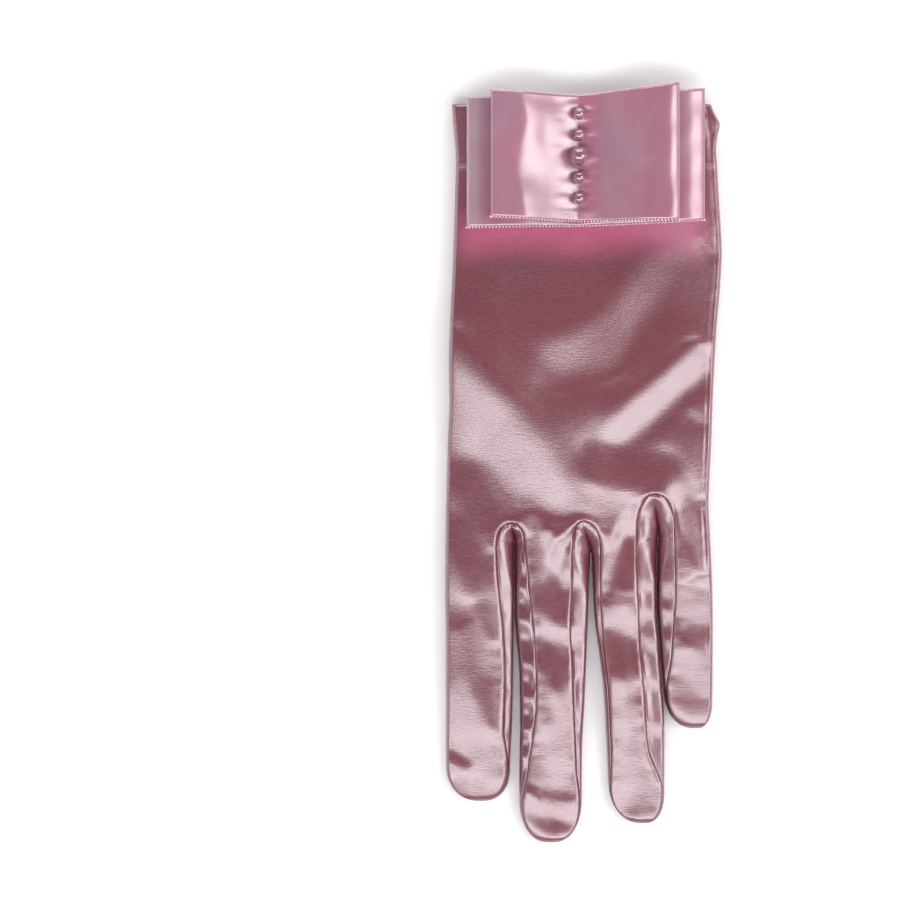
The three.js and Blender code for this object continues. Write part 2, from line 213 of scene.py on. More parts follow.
# x is a place across the glove from its middle line, and s one along it from the hem, in millimetres.
# The edges are rows of (s, x).
index_edge = [(0, -41.3), (8, -40.6), (14, -40.1), (30, -40.3), (49, -40.9), (68, -41.8), (82, -42.2)]
index_edge += [(94, -42.0), (105, -42.5), (118, -42.8), (130, -43.1), (148, -43.3), (168, -43.1)]
index_edge += [(218, -43.0)]
little_edge = [(0, 40.0), (3, 41.2), (6, 42.8), (9, 42.2), (13, 41.6), (19, 41.9), (30, 42.5), (48, 43.3)]
little_edge += [(58, 42.7), (71, 41.6), (83, 40.9), (96, 40.3), (105, 40.0), (118, 39.4), (125, 39.2)]
little_edge += [(136, 39.7), (149, 40.3), (195, 40.4)]

# Each gap between two fingers: the arch's top and the crotch as (x, s), the fingers' edges, and the
# fourchette's two seams, which the arch joins from arch_from on. Creases cross the strip, deep at the
# left and at the right. level is the share of its height that the cloth at the gap's left gains in its
# first, tight round, and right_level the share at its right.
gaps = [
    {
        "name": "index_middle",
        "top": (-22.6, 131.2),
        "crotch": (-21.6, 136.5),
        "arch_from": 138.5,
        "left_edge": [(136, -21.8), (166, -21.9), (180, -22.0), (193, -22.3), (205, -22.9), (218, -23.3)],
        "right_edge": [
            (136, -21.4), (150, -21.5), (166, -21.1), (173, -20.4), (189, -19.9), (213, -20.1),
            (231, -19.6),
        ],
        "left_seam": [
            (131, -27.3), (146, -26.9), (156, -25.8), (166, -24.8), (180, -24.4), (191, -24.7),
            (218, -25.4),
        ],
        "right_seam": [
            (131, -19.0), (139, -18.6), (146, -17.7), (153, -17.1), (165, -15.8), (180, -15.0),
            (189, -15.1), (198, -16.1), (207, -17.4), (231, -17.6),
        ],
        "creases": [134, 144.5, 153, 163.5, 177, 187.5, 197.5, 206],
        "deep": (0.15, 0.6),
        "level": 0.7,
    },
    {
        "name": "middle_ring",
        "top": (-0.3, 130.6),
        "crotch": (2.35, 140.0),
        "arch_from": 140.5,
        "left_edge": [
            (140, 2.1), (150, 1.8), (167, 1.2), (189, 0.3), (200, -0.3), (218, -0.5), (231, -0.8),
        ],
        "right_edge": [
            (140, 2.6), (150, 2.9), (161, 3.5), (170, 4.7), (182, 6.2), (198, 7.2), (211, 7.8),
            (225, 8.4),
        ],
        "left_seam": [
            (131, -3.4), (143, -3.6), (152, -3.7), (162, -4.1), (173, -3.6), (184, -3.1), (198, -2.5),
            (212, -2.0), (231, -2.0),
        ],
        "right_seam": [
            (131, 4.8), (140, 5.0), (159, 5.3), (168, 6.0), (182, 7.4), (198, 8.3), (225, 9.6),
        ],
        "creases": [136, 150, 166, 182, 197],
        "deep": (0.35, 0.15),
        "level": 0.72,
    },
    {
        "name": "ring_little",
        "top": (21.9, 122.0),
        "crotch": (23.4, 135.0),
        "arch_from": 132.0,
        "left_edge": [
            (135, 23.1), (146, 22.8), (160, 22.9), (166, 23.4), (180, 24.4), (189, 25.2), (210, 25.4),
            (225, 25.2),
        ],
        "right_edge": [(135, 23.6), (146, 23.2), (160, 23.3), (166, 23.8), (180, 24.9), (195, 26.6)],
        "left_seam": [
            (123, 17.6), (132, 16.6), (140, 16.3), (150, 16.8), (160, 17.3), (168, 17.4), (181, 18.8),
            (193, 19.4), (205, 20.7), (214, 21.7), (225, 22.5),
        ],
        "right_seam": [
            (123, 27.6), (133, 28.0), (146, 28.4), (156, 28.4), (165, 27.7), (180, 27.4), (186, 28.1),
            (195, 29.0),
        ],
        "creases": [126, 138, 152, 160, 170, 182, 196],
        "deep": (0.28, 0.32),
        "level": 0.86,
    },
]
right_level = 0.6
# Each finger's tip: its reach, how far across the tip lies, and where its round end starts on the
# left and on the right.
tips = [
    {"reach": 218.2, "at": 0.1, "left": 11.0, "right": 9.5},
    {"reach": 231.2, "at": 0.0, "left": 13.0, "right": 13.0},
    {"reach": 225.2, "at": 0.3, "left": 13.5, "right": 8.5},
    {"reach": 195.4, "at": 0.35, "left": 12.5, "right": 8.0},
]
# The rows of points run over the turned hem's inner side, over the hand, where they are closer near
# the arches, and then along each finger and round its tip.
hem_wide = 19.0
inner_rows = [hem_wide, 14.0, 9.0, 4.0, 1.0, 0.2]
arches_from, hand_ends = 118.0, 134.0
coarse_rows, fine_rows = np.linspace(0, arches_from, 108)[:-1], np.linspace(arches_from, hand_ends, 65)
hand_rows = np.concatenate([coarse_rows, fine_rows])
body_rows, tip_rows = 128, 14
# How much further down the hand's last row lies at each place across, to meet the crotches.
crotch_shift = [(-43, 0), (-21.6, 2.5), (-9.6, 3.8), (2.35, 6), (13, 3.2), (23.4, 1), (32, 0.4), (40, 0)]


def gap_line(gap, s):
    """Where the gap runs on over the hand."""
    (top_x, top_s), (x, end) = gap["top"], gap["crotch"]
    hand = top_x * (0.96 + 0.04 * s / top_s)
    return np.where(s < top_s, hand, top_x + (x - top_x) * soft((s - top_s) / (end - top_s)))


def seam_line(gap, side, s):
    """A fourchette's seam, rounded into the arch. From 24 to 8 mm before the fingertip it runs out to
    the finger's edge."""
    rise = np.clip((gap["arch_from"] - s) / (gap["arch_from"] - gap["top"][1]), 0, 1)
    middle, edge = gap_line(gap, s), curve(gap[side + "_edge"], s)
    finger = gaps.index(gap) + (side == "right")
    leg = edge + (curve(gap[side + "_seam"], s) - edge) * soft((tips[finger]["reach"] - 8 - s) / 16)
    return middle + (leg - middle) * (1 - rise**2.6) ** 0.45


def shares(count, dense):
    """Places from 0 to 1, closer together at the first or the last end, or even."""
    t = np.linspace(0, 1, count + 1)
    return {"first": 1 - np.cos(t * math.pi / 2), "last": np.sin(t * math.pi / 2), "even": t}[dense]


def finger_lines(finger, s):
    """The lines between a finger's groups of columns: its edges and seams, in order."""
    if finger:
        lines = [curve(gaps[finger - 1]["right_edge"], s), seam_line(gaps[finger - 1], "right", s)]
    else:
        lines = [curve(index_edge, s)]
    if finger < 3:
        return lines + [seam_line(gaps[finger], "left", s), curve(gaps[finger]["left_edge"], s)]
    return lines + [curve(little_edge, s)]


def hand_lines(s):
    """The same over the hand, where the fourchettes' seams meet in the gaps' lines."""
    lines = [curve(index_edge, s)]
    for gap in gaps:
        lines += [seam_line(gap, "left", s), gap_line(gap, s), seam_line(gap, "right", s)]
    return lines + [curve(little_edge, s)]


def groups_for(under):
    """Each finger's groups of columns: how many, at which end they lie close, and whose they are, the
    trank's or the fourchette's of that number. The under layer has half as many."""
    thin = 2 if under else 1
    strip = 9 // thin
    return [
        [(28 // thin, "first", "trank"), (strip, "last", 0)],
        [(strip, "first", 0), (20 // thin, "even", "trank"), (strip, "last", 1)],
        [(7 // thin, "first", 1), (20 // thin, "even", "trank"), (strip, "last", 2)],
        [(strip, "first", 2), (24 // thin, "last", "trank")],
    ]


def columns_at(lines, groups):
    """A row's places across, from its lines at each column."""
    x, at = [lines[0][0]], 0
    for g, (count, dense, _) in enumerate(groups):
        here = slice(at + 1, at + 1 + count)
        x += list(lines[g][here] + (lines[g + 1][here] - lines[g][here]) * shares(count, dense)[1:])
        at += count
    return np.array(x)


def rounded(distance, radius, power=2.2):
    """A quarter round: 0 at its foot, and 1 from the radius on."""
    t = np.clip(distance / radius, 0, 1)
    return (1 - (1 - t) ** power) ** (1 / power)


def folded(distance, tight, wide, share):
    """Cloth beside a fold: a tight round first, then a gentle crown."""
    return share * rounded(distance, tight) + (1 - share) * rounded(distance, wide, 1.4)


def ridge(away, half):
    """1 on a line, and less with the distance from it."""
    return np.exp(-((away / half) ** 2))


def pleat(x, s, line, high, half):
    """A narrow pleat along places (x, s), which runs out towards its last place."""
    tall = np.zeros(len(x))
    lengths = np.cumsum([0] + [math.dist(a, b) for a, b in zip(line, line[1:])])
    for (x1, s1), (x2, s2), before, after in zip(line, line[1:], lengths, lengths[1:]):
        dx, ds = x2 - x1, s2 - s1
        t = np.clip(((x - x1) * dx + (s - s1) * ds) / (dx * dx + ds * ds), 0, 1)
        left = 1 - (before + (after - before) * t) / lengths[-1]
        away = np.hypot(x - x1 - t * dx, s - s1 - t * ds)
        tall = np.maximum(tall, soft(left * 1.6) * ridge(away, half))
    return high * tall


def crinkle(x, s, size, stretch=(1, 1), seed=0.0):
    """Smooth noise from -1 to 1 with lumps of about size millimetres."""
    ax, bs = x * stretch[0] / size, s * stretch[1] / size
    return np.array([noise.noise(Vector((a, b, seed))) for a, b in zip(ax, bs)])


# How high the upper layer stands along the glove, in millimetres.
crown_rows = [(0, 8.6), (19, 8.8), (48, 9.6), (72, 10.8), (92, 12.2), (106, 12.2), (120, 11.5)]
crown_rows += [(134, 10.3), (150, 8.9), (170, 7.8), (200, 6.9), (231, 6.4)]
# How the cloth lies: lines from (x, s) to (x, s) beside which it falls towards the fingertips, each
# with a half width and the fall per millimetre. Below 0 it rises. Later lines lie over earlier ones.
falls = [
    (-46, 87, -31, 103, 11.5, 0.28), (-31, 103, -18, 113, 10.5, 0.22),
    (-18, 113, -7.5, 122.5, 5.0, 0.22), (9, 104, 35.5, 81.5, 4.9, 0.27),
    (34, 97, 36, 98, 2.5, 0.13), (-9, 80, 6, 76, 7.0, 0.14), (6, 76, 22, 55, 6.5, 0.093),
    (36.5, 43, 40, 46.5, 1.4, 0.16), (28.5, 119, 31, 123, 3.0, 0.13),
    (-36, 127, -35, 130, 3.0, 0.09), (16, 125, 9, 139, 2.4, 0.2), (9, 139, 6, 152, 2.2, 0.2),
    (-10.5, 137, -8.5, 144, 2.8, 0.27), (-7, 148, -5.5, 160, 2.4, 0.24),
    (-34, 147, -28, 157, 3.5, 0.1), (-34, 167, -30, 175, 3.5, 0.07),
    (-31, 158, -28, 165, 3, -0.06), (-39, 170, -37, 186, 4, 0.09),
    (-38, 188, -37, 213, 7.0, 0.235), (-29, 205, -28, 212, 3, 0.09),
    (-12, 163.5, -2, 168, 2.6, 0.18), (-10, 189, -8, 211, 5.5, 0.215),
    (-14, 180, -12, 192, 2.5, 0.08), (-16, 219.5, -4, 222, 3.0, 0.18),
    (7, 161.5, 15, 161.5, 3.6, 0.17), (10, 186, 12, 214, 5.5, 0.185), (20, 196, 22, 216, 3, 0.11),
    (31, 156, 37, 159, 4.2, 0.12), (32, 174, 38, 182, 5.4, 0.165), (30, 140, 30, 146, 3, 0.06),
    (-36, 118, -30, 131, 6, -0.10), (-40, 134, -33, 147, 6, -0.12),
    (14, 139, 13, 150, 3.2, -0.16), (3, 112, 24, 116, 5, -0.16), (-11, 154, -7, 158, 4.5, -0.15),
    (-12, 173, -6, 178, 3.5, -0.14), (8, 171, 15, 174, 5.0, -0.16),
    (-30, 183, -27, 192, 4, -0.08), (-42, 204, -37, 207, 1.6, -0.05),
    (33, 166.5, 38, 167.5, 2.8, -0.16), (32, 130, 37, 140, 5, -0.14),
    (-17, 214, -13, 217, 1.0, -0.2), (28, 189.5, 38, 191.5, 3.0, -0.02),
    (9, 155.4, 16, 155.4, 1.8, 0.03), (-16.6, 132, -14.6, 146, 2.6, 0.05),
]

# The cloth's heights are settled on a grid with a point at each millimetre. Where no line says how it
# falls, it keeps a faint slope. It is held to its neighbours along and across, and weakly to its level.
grid_x, grid_s = np.arange(-46, 47.0), np.arange(-2, 236.0)
faint_hold, faint_slope = 0.035, 0.012
level_hold, across_hold = 0.0012, 0.05
settle_steps = 400


def settled():
    """Heights, in millimetres, of cloth that falls as stated and else lies as level as it can."""
    x, s = np.meshgrid(grid_x, grid_s)
    weight, slope = np.full_like(x, faint_hold), np.full_like(x, faint_slope)
    crown_fall = -np.gradient(curve(crown_rows, grid_s), grid_s)[:, None]
    for x1, s1, x2, s2, half, fall in falls:
        dx, ds = x2 - x1, s2 - s1
        t = np.clip(((x - x1) * dx + (s - s1) * ds) / (dx * dx + ds * ds), 0, 1)
        away = np.hypot(x - x1 - t * dx, s - s1 - t * ds)
        mask = soft((half * 1.7 - away) / (half * 1.4))
        weight = np.maximum(weight, mask)
        slope = slope * (1 - mask) + (crown_fall - fall) * mask

    def pull(z):
        """How strongly the cloth pulls back at each point, at heights z."""
        out = level_hold * z
        along = weight[1:] * (z[1:] - z[:-1])
        out[1:] += along
        out[:-1] -= along
        across = across_hold * (z[:, 1:] - z[:, :-1])
        out[:, 1:] += across
        out[:, :-1] -= across
        return out

    wish = weight[1:] * slope[1:]
    left = np.zeros_like(x)
    left[1:] += wish
    left[:-1] -= wish
    # Each step lifts the cloth where its pull is furthest from what the falls ask.
    z = np.zeros_like(x)
    step, size = left.copy(), (left * left).sum()
    for _ in range(settle_steps):
        pulled = pull(step)
        reach = size / (step * pulled).sum()
        z += reach * step
        left -= reach * pulled
        size, old = (left * left).sum(), size
        step = left + size / old * step
    return z


lie_of_cloth = settled()


def lie_at(x, s):
    """The settled height at any place, from the four grid points round it."""
    fx = np.clip(x - grid_x[0], 0, len(grid_x) - 1.01)
    fs = np.clip(s - grid_s[0], 0, len(grid_s) - 1.01)
    i, j = fx.astype(int), fs.astype(int)
    u, v = fx - i, fs - j
    here = lie_of_cloth[j, i] * (1 - u) + lie_of_cloth[j, i + 1] * u
    further = lie_of_cloth[j + 1, i] * (1 - u) + lie_of_cloth[j + 1, i + 1] * u
    return here * (1 - v) + further * v


# Where the seams lie, up to 14 mm before the fingertips, to feel for the nearest one.
seam_places = []
for gap in gaps:
    for side in ("left", "right"):
        finger = gaps.index(gap) + (side == "right")
        for s in np.arange(gap["top"][1], tips[finger]["reach"] - 14, 0.25):
            seam_places.append((float(seam_line(gap, side, s)), s))
    for turn in np.linspace(0, math.pi, 61):
        s = gap["arch_from"] - (gap["arch_from"] - gap["top"][1]) * math.sin(turn)
        seam_places.append((float(seam_line(gap, "left" if turn < math.pi / 2 else "right", s)), s))
seam_tree = kdtree.KDTree(len(seam_places))
for i, (x, s) in enumerate(seam_places):
    seam_tree.insert((x, s, 0), i)
seam_tree.balance()

# Small pleats: their lines, heights and half widths. Below 0 it is a hollow.
pleats = [
    ([(22.9, 131.9), (21.9, 128.4), (20.3, 125.6)], 0.4, 0.6),
    ([(22.9, 131.9), (24.0, 128.4), (25.2, 125.6)], 0.4, 0.6),
    ([(2.0, 138.0), (0.6, 136.0), (-1.8, 133.8)], 0.35, 0.55),
    ([(2.2, 138.0), (1.6, 135.0), (0.8, 132.6)], 0.3, 0.5),
    ([(2.6, 138.0), (3.2, 135.6), (3.8, 133.4)], 0.35, 0.55),
    ([(-21.9, 136.4), (-22.6, 134.8), (-24.0, 133.4)], 0.3, 0.5),
    ([(-2.6, 133.4), (-4.6, 136.6), (-6.4, 141.6), (-7.8, 146.6), (-8.4, 151.0)], -0.48, 1.1),
    ([(-1.4, 130.2), (-5.4, 132.6), (-8.6, 136.0), (-11.2, 141.5), (-12.4, 147.0)], 0.5, 1.5),
    ([(40.6, 3.0), (41.6, 9.0), (41.0, 14.0)], 0.7, 0.7),
    ([(38.8, 2.0), (39.9, 12.0), (40.2, 18.0)], -0.4, 0.7),
]
# The glove's sides stand at this share of the crown's height. The hem's inner side lies in by hem_gap
# and is narrower by hem_narrow. The under layer rests on small high spots, at rest_height on average.
# far_away is more than any round is wide.
side_share = 0.36
hem_gap, hem_narrow = 0.9, 0.02
rest_height = 0.2
far_away = 99.0
thumb_low, thumb_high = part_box("thumb")
thumb_middle, thumb_half = (thumb_low + thumb_high) * 500, (thumb_high - thumb_low) * 500


def thumb_lift(x, s):
    """How high the palm is held up by the thumb under it, with a soft slope all round."""
    past_middle = np.abs(hem_y * 1000 - s - thumb_middle.y) - (thumb_half.y - thumb_half.x)
    away = np.hypot(x + middle_x * 1000 - thumb_middle.x, np.maximum(past_middle, 0)) - thumb_half.x
    return (thumb_high.z * 1000 + 0.4) * soft(1 - (away - 0.8) / 8.5)


def cloth_grid(under):
    """A layer's points, the faces between them, and the piece that each face belongs to. A point is its
    x and s, the x and s that it has before the fingertip is rounded, how far it is from the tip's end,
    its finger, which is -1 on the hand, and 1 on the hem's inner side."""
    groups = groups_for(under)
    hand_groups = [g for finger in groups for g in finger]
    total = sum(n for n, _, _ in hand_groups) + 1
    points, faces, owners, grid = [], [], [], []
    for s0, inner in [(s, 1) for s in inner_rows] + [(s, 0) for s in hand_rows]:
        s = np.full(total, float(s0))
        x = columns_at(hand_lines(s), hand_groups)
        s = s + (1 - inner) * soft((s0 - 95) / (hand_ends - 95)) * curve(crotch_shift, x)
        x = columns_at(hand_lines(s), hand_groups)
        grid.append((x, s))
        points += [(a, b, a, b, far_away, -1, inner) for a, b in zip(x, s)]
    owner_of = [owner for n, _, owner in hand_groups for _ in range(n)]
    for r in range(1, len(grid)):
        for c in range(total - 1):
            a = (r - 1) * total + c
            faces.append((a, a + 1, a + 1 + total, a + total))
            owners.append(owner_of[c])
    first = 0
    for finger, own_groups in enumerate(groups):
        tip = tips[finger]
        count = sum(n for n, _, _ in own_groups)
        x0, s0 = (v[first : first + count + 1] for v in grid[-1])
        owner_of = [owner for n, _, owner in own_groups for _ in range(n)]
        previous = [(len(grid) - 1) * total + first + c for c in range(count + 1)]
        share = (x0 - x0[0]) / (x0[-1] - x0[0])
        ends = tip["reach"] - tip["left"] - (tip["right"] - tip["left"]) * share
        steps = [(v, 0.0) for v in np.linspace(0, 1, body_rows + 1)[1:]]
        steps += [(1.0, turn) for turn in np.linspace(0, math.pi / 2, tip_rows + 1)[1:]]
        for v, turn in steps:
            level = s0 * (1 - v) + ends * v
            ref_x = columns_at(finger_lines(finger, level), own_groups)
            x, s, to_end = ref_x, level, np.full(count + 1, far_away)
            if turn:
                f = (x - x[0]) / (x[-1] - x[0])
                tip_x = x[0] + (x[-1] - x[0]) * (0.5 + tip["at"] / 2)
                narrow = max(math.cos(turn), 0) ** 0.8
                low, high = tip_x + (x[0] - tip_x) * narrow, tip_x + (x[-1] - tip_x) * narrow
                x = low + (high - low) * f
                s = ends + (tip["reach"] - ends) * math.sin(turn)
                to_end = np.maximum((tip["reach"] - ends) * (1 - math.sin(turn)), 0)
            here = [len(points) + c for c in range(count + 1)]
            points += [(*place, finger, 0) for place in zip(x, s, ref_x, level, to_end)]
            for c in range(count):
                faces.append((previous[c], previous[c + 1], here[c + 1], here[c]))
                owners.append(owner_of[c])
            previous = here
        first += count
    return np.array(points).T, faces, owners


def how_far_up(ref_x, ref_s, to_end, finger):
    """How far up the cloth stands, 0 at the outline and 1 on the flat: in the upper layer, which has a
    tight fold at its edges, and in the under layer, which is rounder."""
    up, low_up = folded(to_end, 1.6, 8.0, 0.64), rounded(to_end, 2.6)
    for edge, sign, own, share in ((index_edge, 1, 0, 0.62), (little_edge, -1, 3, 0.78)):
        use = (finger == own) | (finger < 0)
        away = np.maximum(np.where(use, sign * (ref_x - curve(edge, ref_s)), far_away), 0)
        up *= folded(away, 1.0, 15.0, share)
        low_up *= rounded(away, 2.6)
    for number, gap in enumerate(gaps):
        rim = gap["top"][1] - 2
        form = soft((ref_s - rim) / (gap["crotch"][1] - rim)) ** 1.6
        away = np.abs(ref_x - gap_line(gap, ref_s))
        up = np.where(finger < 0, up * (1 - form * (1 - folded(away, 5.0, 7.0, 0.6))), up)
        low_up = np.where(finger < 0, low_up * (1 - form * (1 - rounded(away, 3.0))), low_up)
        near_crotch = soft(1 - (ref_s - gap["crotch"][1]) / 16)
        sides = ((number, "left", -1, gap["level"]), (number + 1, "right", 1, right_level))
        for own, side, sign, level in sides:
            away = sign * (ref_x - curve(gap[side + "_edge"], ref_s))
            away = np.maximum(np.where(finger == own, away, far_away), 0)
            level = level + (right_level - level) * near_crotch
            up *= folded(away, 0.9 + 4.1 * near_crotch, 7.0, level)
            low_up *= rounded(away, 3.0)
    return up, low_up


def cloth_layer(under):
    """The upper or the under layer's points, in millimetres, its faces and the piece each belongs to."""
    (x, s, ref_x, ref_s, to_end, finger, inner), faces, owners = cloth_grid(under)
    up, low_up = how_far_up(ref_x, ref_s, to_end, finger)
    crown = curve(crown_rows, s)
    side = side_share * crown
    lift = thumb_lift(x, s) + rest_height + rest_height * crinkle(x, s, 17, seed=5.0)
    if under:
        z = side * (1 - low_up) + lift * low_up
        z = z + inner * hem_gap * low_up
        return np.column_stack([x * (1 - hem_narrow * inner), s, z]), faces, owners

    # Folds and wrinkles run out towards the outline. On the fourchettes' strips the folds are flatter.
    loose = up**0.7
    strip = np.zeros(len(x), bool)
    for face, owner in zip(faces, owners):
        if owner != "trank":
            strip[list(face)] = True
    near = np.array([seam_tree.find((a, b, 0))[2] for a, b in zip(x, s)])
    strip &= np.any([(np.abs(x - gap_line(g, s)) < 9) & (s > g["top"][1] + 0.2) for g in gaps], axis=0)
    lie = np.where(strip, 1 - 0.65 * soft(near / 2.2), 1) * lie_at(x, s)
    z = side + (crown - side) * up + loose * lie
    z += loose * (0.22 * crinkle(x, s, 24, seed=1.0) + 0.12 * crinkle(x, s, 11, seed=2.0))
    z += loose * soft((s - 128) / 20) * 0.13 * crinkle(x, s, 7, (0.6, 1.0), seed=3.0)

    # The fourchettes' seams: a groove with a small welt at the fingers' side, puckered by its thread.
    fade = soft((s - 116) / 8)
    pucker = crinkle(x, s, 3.0, (0.45, 1.0), seed=4.0) * np.exp(-near / 2.2)
    groove = 0.14 * ridge(near - 1.2, 0.9) - 0.42 * ridge(near, 0.3)
    z += loose * fade * np.where(strip, 0.4 * groove - 0.25 * soft(near / 0.5), groove + 0.26 * pucker)
    for number, gap in enumerate(gaps):
        away = np.abs(x - gap_line(gap, s))
        own = strip & (away < 11) & ((finger == number) | (finger == number + 1) | (finger < 0))
        deep = np.where(x > gap_line(gap, s), gap["deep"][1], gap["deep"][0])
        deep = deep * soft(near / 1.5) * np.clip(loose * 1.3, 0, 1)
        for crease in gap["creases"]:
            t = s - crease - 0.2 * (x - gap["crotch"][0])
            z += np.where(own, deep * (ridge(t + 2.8, 2.8) - 0.8 * ridge(t - 2.8, 2.8)), 0)

    # The seam at the little finger's side, the small pleats, and the hem's crumpled corner.
    from_seam = np.abs(curve(little_edge, s) - 1.9 - ref_x)
    piping = 0.07 * ridge(from_seam - 0.7, 0.45) - 0.18 * ridge(from_seam, 0.25)
    piping += 0.16 * crinkle(x, s, 2.6, (0.4, 1.0), seed=6.0) * np.exp(-from_seam / 1.5)
    piping *= 0.25 + 0.75 * soft((150 - s) / 16)
    z += np.where((finger < 0) | (finger == 3), loose * piping, 0)
    z += loose * sum(pleat(x, s, *each) for each in pleats)
    z += loose * 0.5 * soft((x - 36.5) / 2.5) * soft((15 - s) / 5) * crinkle(x, s, 2.4, seed=9.0)

    # The upper layer stays above the under one. The turned hem stands a little higher, with a groove
    # where it is stitched.
    floor = (lift + 0.9) * low_up
    z = (z + floor + np.sqrt((z - floor) ** 2 + 0.5 * low_up)) / 2
    z += loose * (0.35 * soft((hem_wide + 0.3 - s) / 0.6) - 0.3 * ridge(s - hem_wide + 1, 0.35))
    z -= inner * hem_gap * up
    return np.column_stack([x * (1 - hem_narrow * inner), s, z]), faces, owners


# Each layer's points, faces and owners, and whether it is the upper one.
layers = [(*cloth_layer(False), True), (*cloth_layer(True), False)]
# The thumb's hole in the palm: its half sizes, and how far from the thumb's end it begins.
hole_half_x, hole_half_s, hole_from_end = 6.5, 16.0, 3.0
hole_x = ((thumb_low.x + thumb_high.x) / 2 - middle_x) * 1000
hole_s = (hem_y - thumb_high.y) * 1000 + hole_from_end + hole_half_s


def in_thumb_hole(points):
    """Whether the middle of the points is in the hole that opens into the thumb."""
    x, s = np.mean([p[:2] for p in points], axis=0)
    return ((x - hole_x) / hole_half_x) ** 2 + ((s - hole_s) / hole_half_s) ** 2 < 1


def to_frame(points):
    """Points (x, s, height) in millimetres as places in the frame, in metres."""
    x, s, z = points.T / 1000
    return np.column_stack([middle_x + x, hem_y - s, z])


def new_object(name, mesh, paint):
    made = bpy.data.objects.new(name, mesh)
    bpy.context.scene.collection.objects.link(made)
    mesh.materials.append(paint)
    return made


def applied(piece, wall=0.0):
    """Gives the piece a wall inwards, if asked, applies its modifiers and shades it smooth."""
    if wall:
        solid = piece.modifiers.new("wall", "SOLIDIFY")
        solid.thickness, solid.offset = wall, -1
    graph = bpy.context.evaluated_depsgraph_get()
    mesh = bpy.data.meshes.new_from_object(piece.evaluated_get(graph))
    piece.modifiers.clear()
    piece.data = mesh
    mesh.name = piece.name
    mesh.shade_smooth()
    return piece


def mesh_from(points, faces, name):
    """A mesh of the faces, with points at the same place as one and without flat faces."""
    keys, places, kept = {}, [], []
    for face in faces:
        corners = []
        for i in face:
            key = tuple(np.round(points[i], 7))
            if key not in keys:
                keys[key] = len(places)
                places.append(tuple(points[i]))
            if keys[key] not in corners:
                corners.append(keys[key])
        if len(corners) > 2:
            kept.append(corners)
    mesh = bpy.data.meshes.new(name)
    mesh.from_pydata(places, [], kept)
    mesh.validate()
    return mesh


def sewn_piece(name, owner, paint):
    """One piece of the cloth, out of both layers, with the thumb's hole left open."""
    points, faces, below = [], [], 0
    for layer, layer_faces, owners, upper in layers:
        placed = to_frame(layer)
        for face, own in zip(layer_faces, owners):
            if own != owner or (not upper and owner == "trank" and in_thumb_hole(layer[list(face)])):
                continue
            face = [i + below for i in face]
            faces.append(face[::-1] if upper else face)
        points += list(placed)
        below += len(placed)
    return applied(new_object(name, mesh_from(points, faces, name), paint), cloth_thick)


def place_along(start, axis):
    """A place on the object along one axis, in metres."""
    place = start.node("ShaderNodeTexCoord", out=3)
    return start.node("ShaderNodeSeparateXYZ", inputs={0: place}, out=axis)


# The satin's tone varies a little, over wide patches and from thread to thread. It is lighter and pinker
# at the cuff.
# Just below the bow, on the upper side alone, the pink light that the bow throws on the cloth is painted
# in as a magenta band.
satin, shader, start = material("dusty_satin", IOR=1.8, Specular_IOR_Level=1.0)
broad = speckle(start, place_on(start), 0.03)
weft = speckle(start, place_on(start, (0.5, 2.2, 1.0)), 1.0)
warp = speckle(start, place_on(start, (2.4, 0.55, 1.0)), 1.0, 1)
tone = broad.between(0.3, 0.7).mix((0.126, 0.019, 0.035), (0.16, 0.026, 0.037))
tone = weft.between(0.3, 0.7).mix(tone, (0.158, 0.03, 0.046))
across, along, height = (place_along(start, axis) for axis in range(3))
cuff = along.between(hem_y - 0.056, hem_y - 0.034)
tone = (cuff * 0.9).mix(tone, (0.19, 0.034, 0.06))
uneven = along + broad * 0.006
# Painted light: a magenta band of the bow's reflected pink light, only on the upper side below the bow.
bow_light_band = uneven.between(hem_y - 0.049, hem_y - 0.036) * (1 - uneven.between(hem_y - 0.033, hem_y - 0.026))
bow_light_band = bow_light_band * across.between(-0.0425, -0.0335) * (1 - across.between(0.033, 0.041))
bow_light_band = bow_light_band * height.between(0.006, 0.0085)
bow_light_colour = across.between(0.0, 0.03).mix((0.49, 0.082, 0.178), (0.5, 0.145, 0.235))
tone = bow_light_band.mix(tone, bow_light_colour)
weave = {"Strength": 0.55, "Distance": 0.00012, "Height": weft * 0.6 + warp * 0.4}
bump = start.node("ShaderNodeBump", inputs=weave)
feed(shader, start, Base_Color=tone, Roughness=weft.between(0.2, 0.8) * 0.05 + 0.29, Normal=bump)

trank = sewn_piece("trank_cloth", "trank", satin)
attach(trank, "root")
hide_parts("trank")
for number, gap in enumerate(gaps):
    strip = sewn_piece("fourchette_" + gap["name"] + "_cloth", number, satin)
    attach(strip, "root")
    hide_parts("fourchette_" + gap["name"])


# Thumb
# The thumb is a flat bag of the same satin, folded under the palm. It opens into the palm's hollow
# through the hole that the trank has above it.
# Its heights at the side seams and on top, and the points of a layer.
thumb_side, thumb_top = 2.6, 2 * thumb_half.z
thumb_rows, thumb_columns = 90, 24


